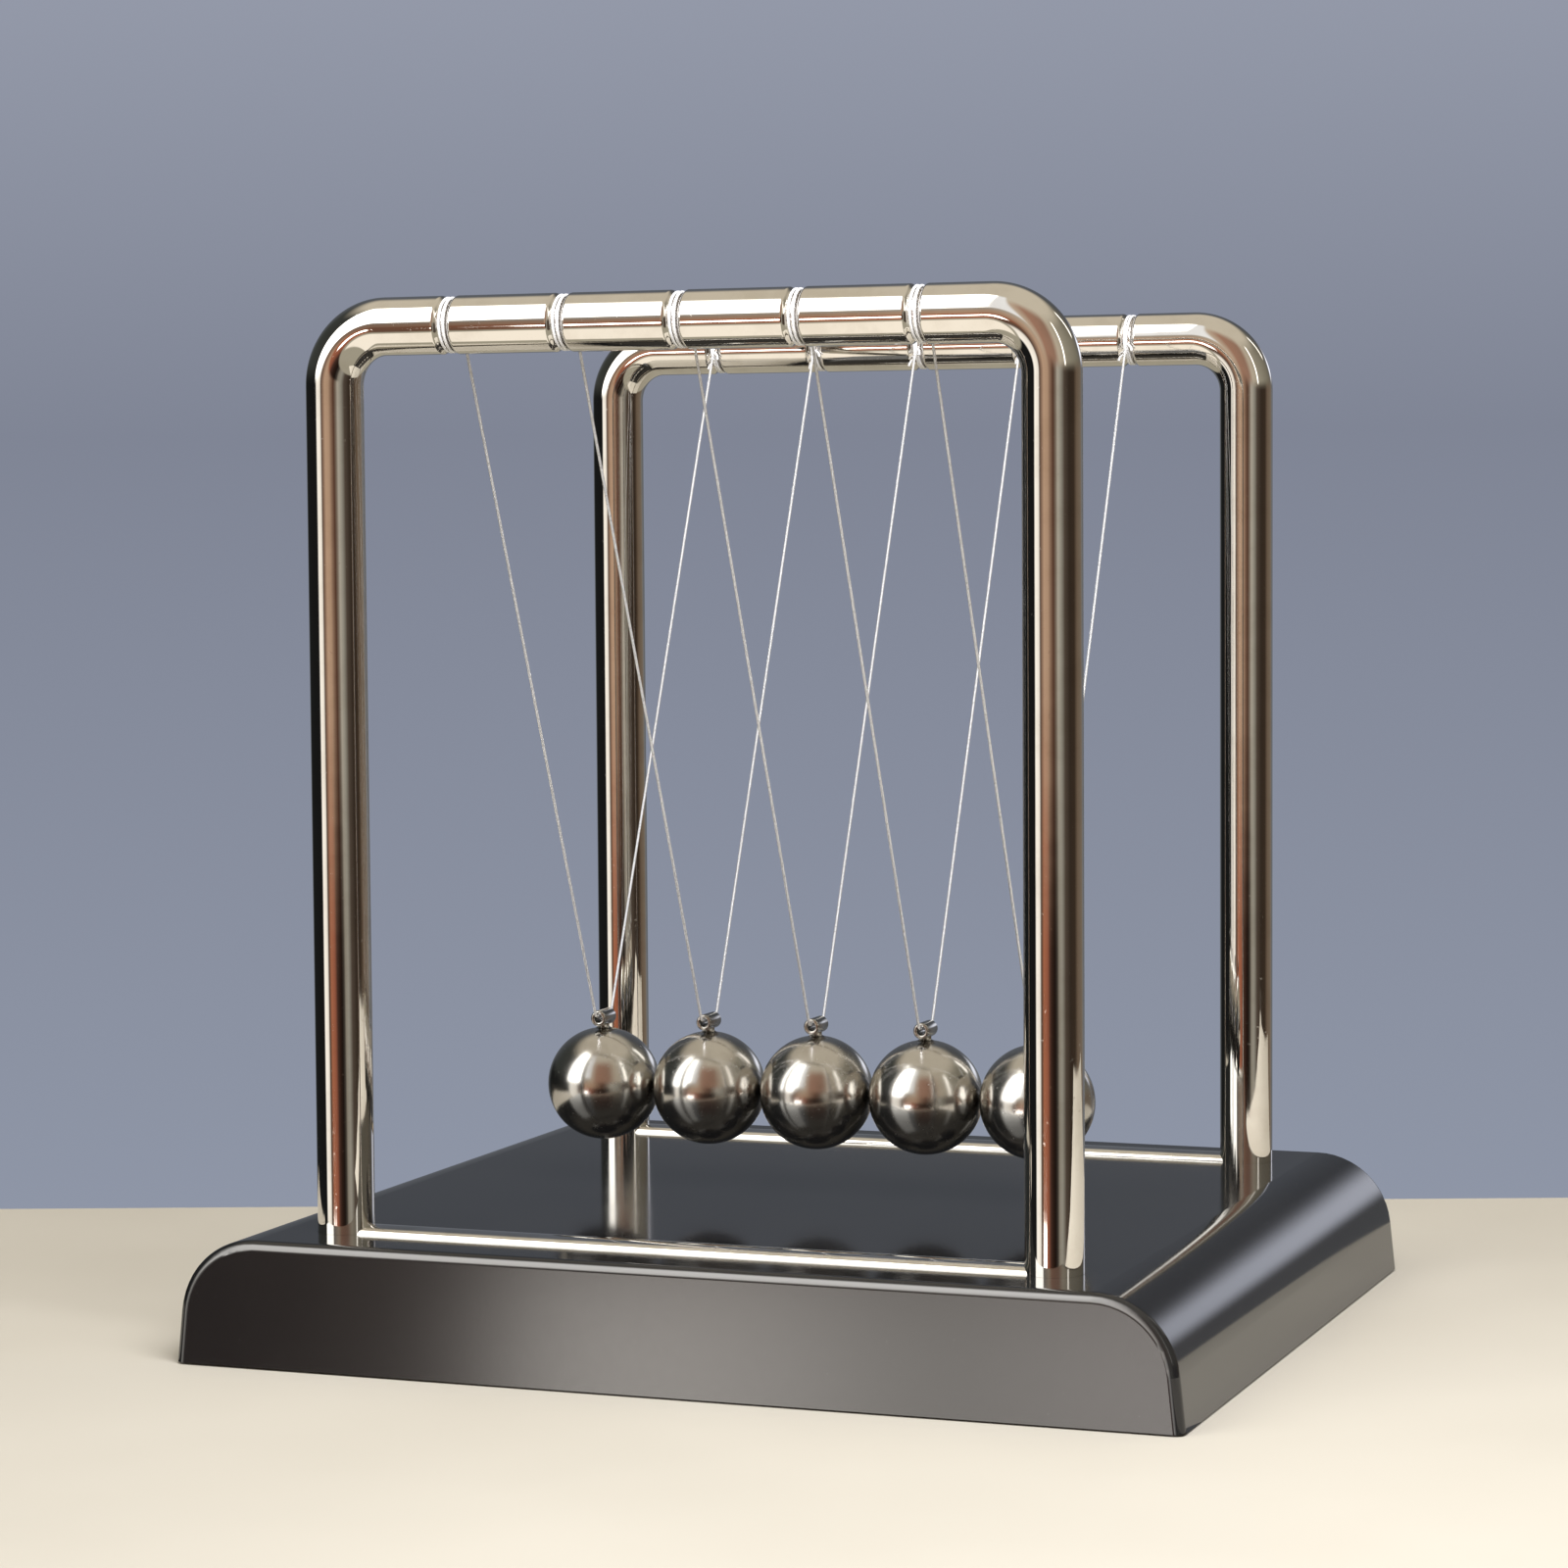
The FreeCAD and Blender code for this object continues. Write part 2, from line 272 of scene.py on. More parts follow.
def new_material(name):
    """A material with one Principled shader, and its tree and shader."""
    material = bpy.data.materials.new(name)
    material.use_nodes = True
    tree = material.node_tree
    tree.nodes.clear()
    shader = node(tree, "BsdfPrincipled")
    out = node(tree, "OutputMaterial")
    tree.links.new(shader.outputs["BSDF"], out.inputs["Surface"])
    return material, tree, shader


def polished_metal(name, colour, smudge_colour, low_roughness, high_roughness, ripple):
    """Plated or polished metal: fine haze, a few dull specks and a very slight ripple."""
    material, tree, shader = new_material(name)
    haze = noise(tree, 160.0, 4.0, 0.6)
    specks = map_range(tree, noise(tree, 1500.0, 2.0, 0.5), 0.66, 0.74)
    tint = map_range(tree, haze, 0.42, 0.68)
    tree.links.new(mix(tree, tint, colour, smudge_colour), shader.inputs["Base Color"])
    rough = map_range(tree, haze, 0.35, 0.7, low_roughness, high_roughness)
    rough = math_node(tree, "ADD", rough, math_node(tree, "MULTIPLY", specks, SPECK_DULLNESS))
    tree.links.new(rough, shader.inputs["Roughness"])
    lumps = noise(tree, 210.0, 1.0, 0.4)
    tree.links.new(bump(tree, lumps, ripple), shader.inputs["Normal"])
    shader.inputs["Metallic"].default_value = 1.0
    return material


def chrome_material():
    return polished_metal("warm_chrome", (0.80, 0.775, 0.735), (0.74, 0.71, 0.665), 0.025, 0.06,
                          CHROME_RIPPLE)


def bar_material():
    return polished_metal("bar_chrome", (0.80, 0.78, 0.75), (0.70, 0.68, 0.64), 0.05, 0.08, BAR_RIPPLE)


def ball_material():
    return polished_metal("ball_steel", (0.60, 0.585, 0.555), (0.54, 0.52, 0.49), 0.16, 0.20, BALL_RIPPLE)


def eyelet_material():
    return polished_metal("eyelet_steel", (0.44, 0.43, 0.41), (0.30, 0.29, 0.27), 0.14, 0.26, CHROME_RIPPLE)


def moulding_material():
    """Glossy black moulding, with dust, a fine grain on its sides and a painted highlight along its front
    and back top edges.
    """
    material, tree, shader = new_material("black_moulding")
    facing = node(tree, "SeparateXYZ", {0: node(tree, "NewGeometry").outputs["Normal"]})
    top = map_range(tree, facing.outputs["Z"], 0.86, 0.985)
    # Mask of the rounded front and back top edges, where a pale line is painted as a highlight
    steepness = math_node(tree, "ABSOLUTE", facing.outputs["Y"])
    edge = math_node(tree, "MULTIPLY", map_range(tree, steepness, 0.66, 0.82),
                     map_range(tree, steepness, 0.975, 0.998, 1.0, 0.0))
    sideways = math_node(tree, "ABSOLUTE", facing.outputs["X"])
    edge = math_node(tree, "MULTIPLY", edge, map_range(tree, sideways, 0.05, 0.4, 1.0, 0.0))
    satin = map_range(tree, noise(tree, 900.0, 3.0, 0.6), 0.3, 0.7, 0.102, 0.108)
    gloss = map_range(tree, noise(tree, 45.0, 4.0, 0.6), 0.35, 0.75, 0.09, 0.12)
    blend = node(tree, "Mix", {"Factor": top, "A": satin, "B": gloss}, data_type="FLOAT")
    dust = map_range(tree, noise(tree, 5200.0, 1.0, 0.5), 0.76, 0.80)
    dulled = math_node(tree, "MULTIPLY", dust, DUST_DULLNESS)
    rough = math_node(tree, "ADD", blend.outputs["Result"], dulled)
    tree.links.new(rough, shader.inputs["Roughness"])
    shade = map_range(tree, noise(tree, 25.0, 3.0, 0.6), 0.3, 0.7)
    colour = mix(tree, shade, MOULDING_DARK, MOULDING_PALE)
    colour = mix(tree, dust, colour, DUST_COLOUR)
    # Painted highlight: the top edges are made paler
    colour = mix(tree, edge, colour, PAINTED_EDGE_HIGHLIGHT)
    tree.links.new(colour, shader.inputs["Base Color"])
    sides_only = map_range(tree, top, 0.0, 1.0, 1.0, 0.05)
    grain = math_node(tree, "MULTIPLY", noise(tree, 2600.0, 2.0, 0.6), sides_only)
    tree.links.new(bump(tree, grain, MOULDING_GRAIN), shader.inputs["Normal"])
    shader.inputs["IOR"].default_value = PLASTIC_IOR
    return material


def rubber_material():
    """Dull black foam rubber with a fine open grain."""
    material, tree, shader = new_material("pad_rubber")
    cells = noise(tree, 2400.0, 4.0, 0.65)
    colour = ramp(tree, cells, [(0.3, (0.012, 0.012, 0.012)), (0.75, (0.045, 0.043, 0.04))])
    tree.links.new(colour, shader.inputs["Base Color"])
    tree.links.new(map_range(tree, cells, 0.3, 0.7, 0.75, 0.95), shader.inputs["Roughness"])
    tree.links.new(bump(tree, cells, RUBBER_GRAIN), shader.inputs["Normal"])
    return material


def zinc_material():
    """Bright zinc plate with a faint yellow-blue bloom."""
    material, tree, shader = new_material("zinc_fastener")
    bloom = noise(tree, 500.0, 3.0, 0.55)
    colour = ramp(tree, bloom, [
        (0.3, (0.58, 0.60, 0.66)), (0.5, (0.66, 0.66, 0.65)), (0.72, (0.68, 0.63, 0.50)),
    ])
    tree.links.new(colour, shader.inputs["Base Color"])
    tree.links.new(map_range(tree, bloom, 0.3, 0.7, 0.28, 0.45), shader.inputs["Roughness"])
    tree.links.new(bump(tree, noise(tree, 4000.0, 2.0), FINE_MARKS), shader.inputs["Normal"])
    shader.inputs["Metallic"].default_value = 1.0
    return material


def nylon_material(name, clearness):
    """Nylon monofilament with faint drawing marks, clear or milky."""
    material, tree, shader = new_material(name)
    marks = noise(tree, 3000.0, 3.0, 0.6)
    colour = ramp(tree, marks, [(0.3, (0.80, 0.81, 0.82)), (0.7, (0.90, 0.90, 0.90))])
    tree.links.new(colour, shader.inputs["Base Color"])
    tree.links.new(map_range(tree, marks, 0.3, 0.7, 0.25, 0.4), shader.inputs["Roughness"])
    tree.links.new(bump(tree, marks, FINE_MARKS), shader.inputs["Normal"])
    shader.inputs["Transmission Weight"].default_value = clearness
    shader.inputs["IOR"].default_value = PLASTIC_IOR
    return material


def floor_material():
    """Plain cream table with the faintest mottle."""
    material, tree, shader = new_material("pale_floor")
    mottle = noise(tree, 14.0, 4.0, 0.5)
    colour = ramp(tree, mottle, [(0.3, (0.435, 0.406, 0.340)), (0.7, (0.455, 0.426, 0.360))])
    tree.links.new(colour, shader.inputs["Base Color"])
    tree.links.new(map_range(tree, mottle, 0.3, 0.7, 0.6, 0.7), shader.inputs["Roughness"])
    shader.inputs["Specular IOR Level"].default_value = 0.2
    return material


# ---------------------------------------------------------------- frames and bars

def groove_radius(rod_radius, distance):
    """Radius of the rail at a distance from the middle of its nearest groove."""
    run = GROOVE_MOUTH_HALF_WIDTH - GROOVE_FLOOR_HALF_WIDTH
    return rod_radius - GROOVE_DEPTH * smooth_step((GROOVE_MOUTH_HALF_WIDTH - abs(distance)) / run)


def rod_rings(side, ball_places):
    """Rings of one bent rod from the hole in its left end, over the rail, to the hole in its right end."""
    low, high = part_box(side + "_frame")
    radius = (high.y - low.y) / 2
    middle_y = (high.y + low.y) / 2
    leg_x = high.x - radius
    rail_z = high.z - radius
    along_y = Vector((0, 1, 0))

    def level_ring(leg_side, height, ring_radius):
        return ring_round(Vector((leg_side * leg_x, middle_y, height)), Vector((-leg_side, 0, 0)),
                          along_y, ring_radius, ROD_SIDES)

    hole_top = low.z + TAPPED_HOLE_DEPTH
    end = [
        (hole_top + TAPPED_HOLE_RADIUS / 2, 0.0),
        (hole_top, TAPPED_HOLE_RADIUS),
        (low.z, TAPPED_HOLE_RADIUS),
        (low.z, radius - ROD_END_CHAMFER),
        (low.z + ROD_END_CHAMFER, radius),
        (rail_z - BEND_RADIUS - STRAIGHT_GUARD, radius),
        (rail_z - BEND_RADIUS, radius),
    ]
    left = [level_ring(-1, height, ring_radius) for height, ring_radius in end]
    for step in range(1, BEND_STEPS + 1):
        turn = step / BEND_STEPS * math.pi / 2
        outward = Vector((-math.cos(turn), 0, math.sin(turn)))
        centre = Vector((BEND_RADIUS - leg_x, middle_y, rail_z - BEND_RADIUS)) + outward * BEND_RADIUS
        left.append(ring_round(centre, -outward, along_y, radius, ROD_SIDES))
    guard = Vector((BEND_RADIUS + STRAIGHT_GUARD - leg_x, middle_y, rail_z))
    left.append(ring_round(guard, Vector((0, 0, -1)), along_y, radius, ROD_SIDES))
    rail = []
    for place in ball_places:
        for step in range(-GROOVE_STEPS - GROOVE_GUARDS, GROOVE_STEPS + GROOVE_GUARDS + 1):
            distance = step / GROOVE_STEPS * GROOVE_MOUTH_HALF_WIDTH
            centre = Vector((place + distance, middle_y, rail_z))
            ring_radius = groove_radius(radius, distance)
            rail.append(ring_round(centre, Vector((0, 0, -1)), along_y, ring_radius, ROD_SIDES))
    right = [[Vector((-point.x, point.y, point.z)) for point in ring] for ring in reversed(left)]
    return left + rail + right


def build_frame(side, ball_places, material):
    points, faces = skin(rod_rings(side, ball_places))
    add_piece(side + "_rod_frame", points, faces, material, STAND, side + "_frame")


def build_foot_bar(side, material):
    """Low bar with an arched top and eased shoulders, coped round both legs."""
    low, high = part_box(side + "_foot_bar")
    rod_low, rod_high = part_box(side + "_frame")
    cope = (rod_high.y - rod_low.y) / 2 + COPE_CLEARANCE
    leg_x = rod_high.x - (rod_high.y - rod_low.y) / 2
    middle_y = (low.y + high.y) / 2
    half_width = (high.y - low.y) / 2
    edge_z = high.z - BAR_CROWN
    outline = [(-half_width, low.z)]
    for step in range(BAR_ARC_STEPS + 1):
        across = -half_width + 2 * half_width * step / BAR_ARC_STEPS
        outline.append((across, edge_z + BAR_CROWN * math.sqrt(max(0.0, 1 - (across / half_width) ** 2))))
    outline.append((half_width, low.z))
    for step in range(1, BAR_END_CUTS):
        outline.append((half_width - 2 * half_width * step / BAR_END_CUTS, low.z))
    rings = []
    for leg_side in (-1, 1):
        ring = []
        for across, height in outline:
            reach = leg_x - math.sqrt(cope ** 2 - across ** 2)
            ring.append(Vector((leg_side * reach, middle_y + across, height)))
        rings.append(ring)
    count = len(outline)
    points = rings[0] + rings[1]
    faces = [(i, (i + 1) % count, (i + 1) % count + count, i + count) for i in range(count)]
    faces += cope_faces(outline, 0, True) + cope_faces(outline, count, False)
    add_piece(side + "_bar", points, faces, material, STAND, side + "_foot_bar")


def cope_faces(outline, start, reverse):
    """End face of a foot bar, as strips between its arched top and its flat underside."""
    top = list(range(1, BAR_ARC_STEPS + 2))
    bottom = [0] + list(range(len(outline) - 1, BAR_ARC_STEPS + 1, -1))
    faces, upper, lower = [], 0, 0
    while upper < len(top) - 1 or lower < len(bottom) - 1:
        next_upper = outline[top[upper + 1]][0] if upper < len(top) - 1 else math.inf
        next_lower = outline[bottom[lower + 1]][0] if lower < len(bottom) - 1 else math.inf
        if next_upper <= next_lower:
            face = (top[upper], top[upper + 1], bottom[lower])
            upper += 1
        else:
            face = (top[upper], bottom[lower + 1], bottom[lower])
            lower += 1
        faces.append(tuple(start + i for i in (reversed(face) if reverse else face)))
    return faces


# ---------------------------------------------------------------- balls and eyelets

def build_ball(number, material):
    """Polished ball with the small ground flat that its eyelet is welded to."""
    low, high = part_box("ball_" + str(number))
    radius = (high.x - low.x) / 2
    centre = Vector(((low.x + high.x) / 2, (low.y + high.y) / 2, low.z + radius))
    flat_height = radius - BALL_FLAT_DEPTH
    flat_radius = math.sqrt(radius ** 2 - flat_height ** 2)
    flat_angle = math.acos(flat_height / radius)
    profile = [(flat_height, 0.0), (flat_height, flat_radius)]
    for step in range(1, BALL_RINGS):
        angle = flat_angle + (math.pi - flat_angle) * step / BALL_RINGS
        profile.append((radius * math.cos(angle), radius * math.sin(angle)))
    profile.append((-radius, 0.0))
    points, faces = lathe(centre, Vector((0, 0, 1)), Vector((1, 0, 0)), profile, BALL_SIDES)
    body = "ball_" + str(number)
    add_piece("polished_ball_" + str(number), points, faces, material, body, body)


def build_eyelet(number, material):
    """Short tube with rolled ends, welded down on a waisted foot."""
    low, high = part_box("eyelet_" + str(number))
    radius = (high.x - low.x) / 2
    half_length = (high.y - low.y) / 2
    centre = Vector(((low.x + high.x) / 2, (low.y + high.y) / 2, high.z - radius))
    outer, inner = [], []
    for step in range(EYELET_ROUND_STEPS + 1):
        turn = step / EYELET_ROUND_STEPS * math.pi / 2
        from_sine = EYELET_END_ROUND * (1 - math.sin(turn))
        from_cosine = EYELET_END_ROUND * (1 - math.cos(turn))
        outer.append((half_length - from_sine, radius - from_cosine))
        inner.append((half_length - from_cosine, EYELET_HOLE_RADIUS + from_sine))
    front_half = outer + inner
    profile = [(-height, ring) for height, ring in reversed(front_half)] + front_half
    tube_points, tube_faces = lathe(centre, Vector((0, 1, 0)), Vector((1, 0, 0)), profile, TUBE_SIDES)
    last = len(profile) - 1
    for i in range(TUBE_SIDES):
        j = (i + 1) % TUBE_SIDES
        tube_faces.append((last * TUBE_SIDES + i, i, j, last * TUBE_SIDES + j))
    weld = [(low.z, 0.0)]
    for height, share in EYELET_WELD_SLOPE:
        weld.append((low.z + height, EYELET_FOOT_RADIUS + share * EYELET_WELD_WIDTH))
    foot_top = centre.z - EYELET_FOOT_SUNK
    weld += [(foot_top, EYELET_FOOT_RADIUS), (foot_top, 0.0)]
    foot = lathe(Vector((centre.x, centre.y, 0)), Vector((0, 0, 1)), Vector((1, 0, 0)), weld, TUBE_SIDES)
    points, faces = join_shells([(tube_points, tube_faces), foot])
    body = "ball_" + str(number)
    add_piece("tube_eyelet_" + str(number), points, faces, material, body,
              "eyelet_" + str(number))


# ---------------------------------------------------------------- nylon

def knot_place(number, side):
    """Middle of a line's end knot, on the swing axis."""
    low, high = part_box(side + "_frame")
    radius = (high.y - low.y) / 2
    inward = 1 if side == "front" else -1
    ball_low, ball_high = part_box("ball_" + str(number))
    y = (high.y + low.y) / 2 + inward * KNOT_FROM_RAIL_AXIS * math.cos(KNOT_ANGLE)
    z = high.z - radius + KNOT_FROM_RAIL_AXIS * math.sin(KNOT_ANGLE)
    return Vector(((ball_low.x + ball_high.x) / 2, y, z))


def line_route(number):
    """Points from the front knot, through the eyelet, to the back knot."""
    low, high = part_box("eyelet_" + str(number))
    tube_radius = (high.x - low.x) / 2
    start = knot_place(number, "front")
    low_z = high.z - tube_radius + EYELET_HOLE_RADIUS - LINE_RADIUS
    mouth_y = (high.y - low.y) / 2 + LINE_MOUTH_GAP
    centre_z = low_z + LINE_BEND_RADIUS
    rise = start.z - centre_z
    reach = abs(start.y) - mouth_y
    tangent = math.sqrt(rise ** 2 + reach ** 2 - LINE_BEND_RADIUS ** 2)
    slope = math.atan2(rise, reach) + math.atan2(LINE_BEND_RADIUS, tangent)
    half = [Vector((start.x, 0, low_z))]
    for step in range(LINE_BEND_STEPS + 1):
        turn = slope * step / LINE_BEND_STEPS
        y = mouth_y + LINE_BEND_RADIUS * math.sin(turn)
        half.append(Vector((start.x, y, centre_z - LINE_BEND_RADIUS * math.cos(turn))))
    half.append(Vector((start.x, abs(start.y), start.z)))
    mirrored = [Vector((point.x, -point.y, point.z)) for point in reversed(half[1:])]
    return mirrored + half


def knot_path(centre, turn, scale):
    """Overhand knot: a closed three-lobed loop about centre."""
    spin = Matrix.Rotation(turn, 3, "Z") @ Matrix.Rotation(math.pi / 2, 3, "Y")
    path = []
    for step in range(KNOT_STEPS + 1):
        t = 2 * math.pi * step / KNOT_STEPS
        point = Vector((math.sin(t) + 2 * math.sin(2 * t),
                        math.cos(t) - 2 * math.cos(2 * t), -math.sin(3 * t)))
        path.append(centre + spin @ point * scale)
    return path


def build_line(number, material):
    shells = [thread(line_route(number), LINE_RADIUS)]
    for side in SIDES:
        path = knot_path(knot_place(number, side), number * 0.9, KNOT_SCALE)
        shells.append(thread(path, KNOT_THREAD_RADIUS))
    points, faces = join_shells(shells)
    add_piece("nylon_line_" + str(number), points, faces, material,
              "ball_" + str(number), "line_" + str(number))


def build_winding(number, side, material):
    """Turns of line wound in a rail groove, with the two cut ends standing out below the rail."""
    draw = random.Random(10 * number + SIDES.index(side))
    low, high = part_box(side + "_frame")
    inward = 1 if side == "front" else -1
    knot = knot_place(number, side)
    rail = Vector((knot.x, (high.y + low.y) / 2, high.z - (high.y - low.y) / 2))
    sweep = 2 * math.pi * WINDING_TURNS
    path = []
    for step in range(WINDING_STEPS + 1):
        share = step / WINDING_STEPS
        angle = WINDING_START + sweep * share
        offset = WINDING_HALF_WIDTH * math.sin(math.pi * (share * 1.6 - 0.8))
        offset += draw.uniform(-WINDING_JITTER, WINDING_JITTER)
        path.append(rail + Vector((offset, inward * WINDING_RADIUS * math.cos(angle),
                                   WINDING_RADIUS * math.sin(angle))))
    shells = [thread(path, LINE_RADIUS)]
    for end, lean in ((path[0], -1), (path[-1], 1)):
        outward = (end - rail).normalized()
        tip = outward * 0.55 + Vector((lean * draw.uniform(0.35, 0.8), 0, draw.uniform(-0.9, -0.2)))
        length = TAG_LENGTH * draw.uniform(0.6, 1.0)
        tag = [end + outward * TAG_START_LIFT]
        for step in range(1, TAG_STEPS + 1):
            bow = math.sin(math.pi * step / TAG_STEPS) * TAG_BOW
            tag.append(end + tip.normalized() * length * step / TAG_STEPS + Vector((lean * bow, 0, bow)))
        shells.append(thread(tag, TAG_RADIUS))
    points, faces = join_shells(shells)
    add_piece(side + "_winding_" + str(number), points, faces, material, STAND,
              side + "_loop_" + str(number))


# ---------------------------------------------------------------- stage

# Camera, fitted to the object's outline in the photograph
CAMERA_PLACE = Vector((0.212248, -0.574543, 0.118521))
CAMERA_AZIMUTH = math.radians(20.6915)
CAMERA_DROP = math.radians(3.7677)
CAMERA_ROLL = math.radians(-0.4125)
CAMERA_LENS = 96.634
SENSOR_WIDTH = 36.0
CAMERA_CLIP = 0.01

# Table, across and along the camera's level heading
TABLE_BACK = 0.099
TABLE_FRONT = 0.155
TABLE_LEFT = 0.19
TABLE_RIGHT = 0.36
TABLE_FAR = 1.2
TABLE_NOTCH_FRONT = 0.03
TABLE_NOTCH_RIGHT = 0.05
TABLE_GAP = 0.01 * MM

# Lamp
LAMP_PLACE = Vector((0.27, -0.35, 0.45))
LAMP_SIZE = 0.45
LAMP_POWER = 6.6
LAMP_COLOUR = (1.0, 1.01, 1.08)

# Light of the room's surfaces
LOW_LIGHT = (0.42, 0.385, 0.30)
CEILING_LIGHT = (0.66, 0.59, 0.47)
WINDOW_LIGHT = (3.7, 3.65, 3.5)
WINDOW_EDGE_LIGHT = (1.0, 1.0, 1.0)
CLOTH_LIGHT = (1.15, 1.05, 0.90)
STRIP_LIGHT = (2.6, 2.5, 2.3)
GLOW_LIGHT = (1.35, 1.4, 1.6)
BACKDROP = [(0.0, (0.30, 0.335, 0.42)), (0.5, (0.215, 0.235, 0.30)), (1.0, (0.42, 0.45, 0.54))]

# Side walls, shared by the room's low and middle bands: (azimuth in degrees, light)
LEFT_WALL = [
    (-178, (0.15, 0.16, 0.18)), (-156, (0.11, 0.12, 0.13)), (-146, (0.012, 0.013, 0.013)),
    (-77, (0.010, 0.010, 0.010)), (-72, (1.25, 1.18, 1.08)), (-57, (1.05, 0.98, 0.88)),
    (-52, (0.13, 0.085, 0.065)),
]
RIGHT_WALL = [
    (27, (0.34, 0.32, 0.27)), (42, (0.09, 0.068, 0.052)), (62, (0.04, 0.028, 0.020)),
    (84, (0.045, 0.030, 0.020)), (100, (0.16, 0.115, 0.080)), (128, (0.20, 0.16, 0.12)),
    (138, (0.20, 0.20, 0.21)), (150, (0.13, 0.14, 0.15)), (168, (0.17, 0.18, 0.20)),
    (178, (0.16, 0.172, 0.19)),
]


def look_axes():
    """Forward, right and up of the camera's level heading, before its roll."""
    forward = Vector((-math.sin(CAMERA_AZIMUTH) * math.cos(CAMERA_DROP),
                      math.cos(CAMERA_AZIMUTH) * math.cos(CAMERA_DROP), -math.sin(CAMERA_DROP)))
    right = forward.cross(Vector((0, 0, 1))).normalized()
    return forward, right, right.cross(forward)


def build_camera():
    forward, right, up = look_axes()
    rolled_right = right * math.cos(CAMERA_ROLL) + up * math.sin(CAMERA_ROLL)
    rolled_up = up * math.cos(CAMERA_ROLL) - right * math.sin(CAMERA_ROLL)
    data = bpy.data.cameras.new("photo_camera")
    data.lens = CAMERA_LENS
    data.sensor_width = SENSOR_WIDTH
    data.clip_start = CAMERA_CLIP
    camera = bpy.data.objects.new("photo_camera", data)
    turn = Matrix((rolled_right, rolled_up, -forward)).transposed()
    camera.matrix_world = Matrix.Translation(CAMERA_PLACE) @ turn.to_4x4()
    bpy.context.scene.collection.objects.link(camera)
    bpy.context.scene.camera = camera


def table_top(name, corner_places, material):
    """Flat piece of table, given as (across, deep) corners in the camera's level heading."""
    forward, right, _ = look_axes()
    level_forward = Vector((forward.x, forward.y, 0)).normalized()
    points = [right * across + level_forward * deep for across, deep in corner_places]
    mesh = bpy.data.meshes.new(name)
    mesh.from_pydata([tuple(p) for p in points], [], [tuple(range(len(points)))])
    mesh.materials.append(material)
    top = bpy.data.objects.new(name, mesh)
    bpy.context.scene.collection.objects.link(top)
    return top


def build_table():
    """Pale table whose far edge lies just behind the base, with a twin that only the gloss sees."""
    wide = ((-TABLE_FAR, -TABLE_FAR), (TABLE_FAR, -TABLE_FAR), (TABLE_FAR, TABLE_BACK),
            (-TABLE_FAR, TABLE_BACK))
    material = floor_material()
    matt = table_top("pale_table", wide, material)
    matt.visible_glossy = False
    near = ((-TABLE_LEFT, -TABLE_NOTCH_FRONT), (TABLE_NOTCH_RIGHT, -TABLE_NOTCH_FRONT),
            (TABLE_NOTCH_RIGHT, -TABLE_FRONT), (TABLE_RIGHT, -TABLE_FRONT), (TABLE_RIGHT, TABLE_BACK),
            (-TABLE_LEFT, TABLE_BACK))
    polished = table_top("polished_table", near, material)
    polished.location.z = TABLE_GAP
    polished.visible_camera = False
    polished.visible_diffuse = False
    polished.visible_shadow = False
    polished.visible_transmission = False


def build_lamp():
    """Broad soft lamp over the front right of the table, kept out of the gloss."""
    data = bpy.data.lights.new("soft_lamp", "AREA")
    data.shape = "DISK"
    data.size = LAMP_SIZE
    data.energy = LAMP_POWER
    data.color = LAMP_COLOUR
    lamp = bpy.data.objects.new("soft_lamp", data)
    lamp.location = LAMP_PLACE
    lamp.rotation_euler = (-LAMP_PLACE).to_track_quat("-Z", "Y").to_euler()
    lamp.visible_glossy = False
    lamp.visible_camera = False
    bpy.context.scene.collection.objects.link(lamp)


def band(tree, value, low, high, soft):
    """1 between low and high and 0 outside, with soft ends."""
    rise = map_range(tree, value, low - soft, low + soft)
    fall = map_range(tree, value, high - soft, high + soft, 1.0, 0.0)
    return math_node(tree, "MULTIPLY", rise, fall)


def panel(tree, azimuth, height, sides, ends):
    """1 inside a soft-edged rectangle of the room: sides and ends are (low, high, softness)."""
    return math_node(tree, "MULTIPLY", band(tree, azimuth, *sides), band(tree, height, *ends))


def turned_ramp(tree, azimuth, stops):
    """Colour ramp round the room from (azimuth, colour) stops."""
    share = map_range(tree, azimuth, -180.0, 180.0, kind="LINEAR")
    return ramp(tree, share, [((degrees + 180) / 360, colour) for degrees, colour in stops])


def room_directions(tree):
    """Azimuth and height in degrees: 0, 0 is level toward the camera, and azimuth grows to the right."""
    direction = node(tree, "TexCoord").outputs["Generated"]
    turned = node(tree, "Mapping", {"Vector": direction, "Rotation": (0, 0, -CAMERA_AZIMUTH)})
    parts = node(tree, "SeparateXYZ", {0: turned.outputs["Vector"]})
    toward_camera = math_node(tree, "MULTIPLY", parts.outputs["Y"], -1.0)
    azimuth = math_node(tree, "ARCTAN2", parts.outputs["X"], toward_camera)
    height = math_node(tree, "ARCSINE", parts.outputs["Z"])
    return [math_node(tree, "MULTIPLY", angle, 180 / math.pi) for angle in (azimuth, height)]


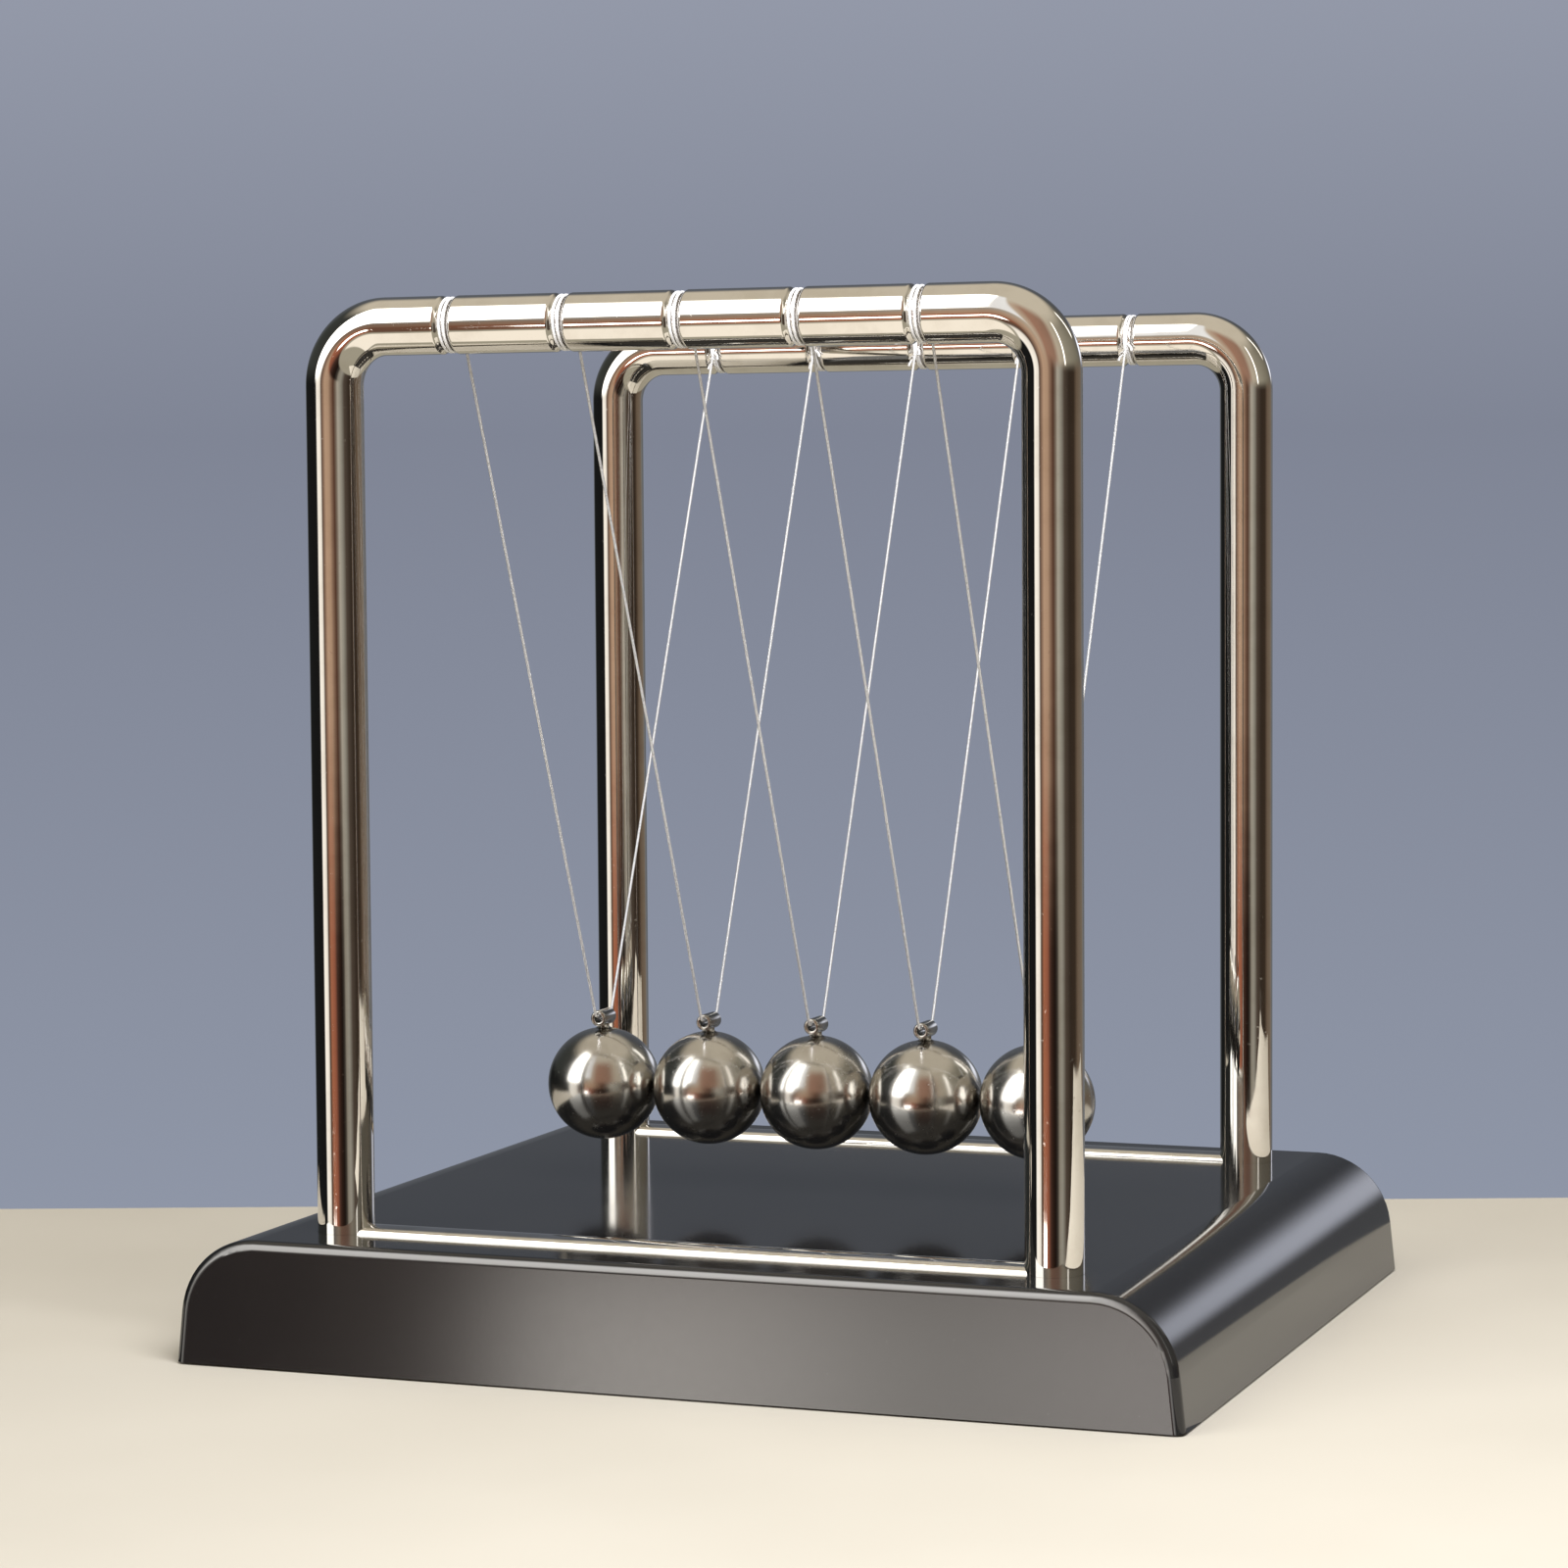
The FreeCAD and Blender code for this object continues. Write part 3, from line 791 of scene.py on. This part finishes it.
def room_walls(tree, azimuth, height):
    """Dim walls in bands of colour, between a pale floor of light and a cream ceiling."""
    low_wall = turned_ramp(tree, azimuth, LEFT_WALL + [
        (-47, (0.16, 0.08, 0.05)), (-42, (0.44, 0.16, 0.085)), (-27, (0.34, 0.115, 0.065)),
        (-17, (0.07, 0.033, 0.024)), (-8, (0.030, 0.015, 0.010)), (2, (0.015, 0.009, 0.007)),
        (10, (0.06, 0.05, 0.04)), (17, (0.30, 0.27, 0.22)),
    ] + RIGHT_WALL)
    middle_wall = turned_ramp(tree, azimuth, LEFT_WALL + [
        (-46, (0.26, 0.16, 0.11)), (-36, (0.56, 0.37, 0.25)), (-21, (0.50, 0.33, 0.22)),
        (-12, (0.28, 0.17, 0.115)), (-1, (0.10, 0.045, 0.028)), (8, (0.22, 0.17, 0.13)),
        (16, (0.48, 0.44, 0.37)),
    ] + RIGHT_WALL)
    upper_wall = turned_ramp(tree, azimuth, [
        (-172, (0.12, 0.13, 0.15)), (-130, (0.05, 0.055, 0.05)), (-58, (0.035, 0.035, 0.032)),
        (-46, (0.30, 0.28, 0.25)), (-26, (0.60, 0.48, 0.36)), (-14, (0.40, 0.22, 0.15)),
        (12, (0.34, 0.20, 0.14)), (28, (0.56, 0.48, 0.37)), (60, (0.34, 0.31, 0.24)),
        (110, (0.22, 0.20, 0.15)), (150, (0.09, 0.095, 0.105)), (172, (0.12, 0.13, 0.15)),
    ])
    wall = mix(tree, map_range(tree, height, -6.5, -2.0), low_wall, middle_wall)
    colour = mix(tree, map_range(tree, height, -24.0, -20.0), LOW_LIGHT, wall)
    colour = mix(tree, map_range(tree, height, 2.0, 12.0), colour, upper_wall)
    return mix(tree, map_range(tree, height, 38.0, 58.0), colour, CEILING_LIGHT)


def add_window(tree, azimuth, height, colour):
    """Tall window on the left: its sill rises to the right, and its right edge is dimmer."""
    sill = map_range(tree, azimuth, -52.0, -44.0, 5.0, 15.0)
    above = map_range(tree, math_node(tree, "SUBTRACT", height, sill), -3.0, 3.0)
    window = math_node(tree, "MULTIPLY", above, band(tree, azimuth, -80.0, -27.0, 2.5))
    window = math_node(tree, "MULTIPLY", window, map_range(tree, height, 58.0, 64.0, 1.0, 0.0))
    pane = mix(tree, map_range(tree, azimuth, -41.5, -37.5), WINDOW_LIGHT, WINDOW_EDGE_LIGHT)
    return mix(tree, window, colour, pane)


def add_pale_panels(tree, azimuth, height, colour):
    """Bright sheet and cloth below the window, two upright strips and a bluish glow behind."""
    paper = turned_ramp(tree, azimuth, [
        (-46, (7.6, 7.1, 6.5)), (-42.5, (7.4, 6.9, 6.4)), (-39.5, (3.7, 3.5, 3.2)),
        (-37, (5.3, 4.9, 4.6)), (-32, (5.2, 4.8, 4.5)),
    ])
    for sides, ends, light in (
        ((-45.3, -32.0, 0.5), (-14.5, -10.0, 0.5), paper),
        ((-78.0, -20.0, 3.0), (-88.0, -27.0, 1.5), CLOTH_LIGHT),
        ((46.0, 51.0, 1.0), (8.0, 46.0, 2.0), STRIP_LIGHT),
        ((116.0, 122.0, 1.0), (24.0, 44.0, 2.0), STRIP_LIGHT),
        ((138.0, 156.0, 5.0), (6.0, 14.5, 3.0), GLOW_LIGHT),
    ):
        colour = mix(tree, panel(tree, azimuth, height, sides, ends), colour, light)
    return colour


def build_world():
    """Soft studio room that lights the part and is mirrored in it; the camera sees a plain backdrop."""
    world = bpy.data.worlds.new("studio")
    world.use_nodes = True
    bpy.context.scene.world = world
    tree = world.node_tree
    tree.nodes.clear()
    azimuth, height = room_directions(tree)
    colour = room_walls(tree, azimuth, height)
    colour = add_window(tree, azimuth, height, colour)
    colour = add_pale_panels(tree, azimuth, height, colour)
    room = node(tree, "Background", {"Color": colour, "Strength": 1.0}).outputs[0]
    backdrop_colour = ramp(tree, map_range(tree, height, -14.0, 16.0, kind="LINEAR"), BACKDROP)
    backdrop = node(tree, "Background", {"Color": backdrop_colour, "Strength": 1.0}).outputs[0]
    seen = node(tree, "LightPath").outputs["Is Camera Ray"]
    blend = node(tree, "MixShader", {"Fac": seen, 1: room, 2: backdrop}).outputs[0]
    out = node(tree, "OutputWorld")
    tree.links.new(blend, out.inputs["Surface"])


# ---------------------------------------------------------------- the whole part

def finish_cad_nodes():
    """The CAD pieces that stay on show, with their finishes."""
    finishes = {
        "base_shell": (moulding_material(), "black_moulding"),
        "leg_screws": (zinc_material(), "zinc_fastener"),
    }
    finishes["leg_washers"] = finishes["leg_screws"]
    rubber = rubber_material()
    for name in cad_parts:
        if name.startswith("foot_pad"):
            finishes[name] = (rubber, "pad_rubber")
    for name, (material, slot) in finishes.items():
        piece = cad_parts[name]
        piece.data.materials.clear()
        piece.data.materials.append(material)


def build_part():
    finish_cad_nodes()
    chrome = chrome_material()
    bar = bar_material()
    steel = ball_material()
    eyelet = eyelet_material()
    hanging_nylon = nylon_material("hanging_nylon", HANGING_CLEARNESS)
    wound_nylon = nylon_material("wound_nylon", WOUND_CLEARNESS)
    ball_places = [knot_place(number, "front").x for number in BALLS]
    for side in SIDES:
        build_frame(side, ball_places, chrome)
        build_foot_bar(side, bar)
    for number in BALLS:
        build_ball(number, steel)
        build_eyelet(number, eyelet)
        build_line(number, hanging_nylon)
        for side in SIDES:
            build_winding(number, side, wound_nylon)


build_part()
build_camera()
build_table()
build_lamp()
build_world()
bpy.context.scene.view_settings.view_transform = "Standard"
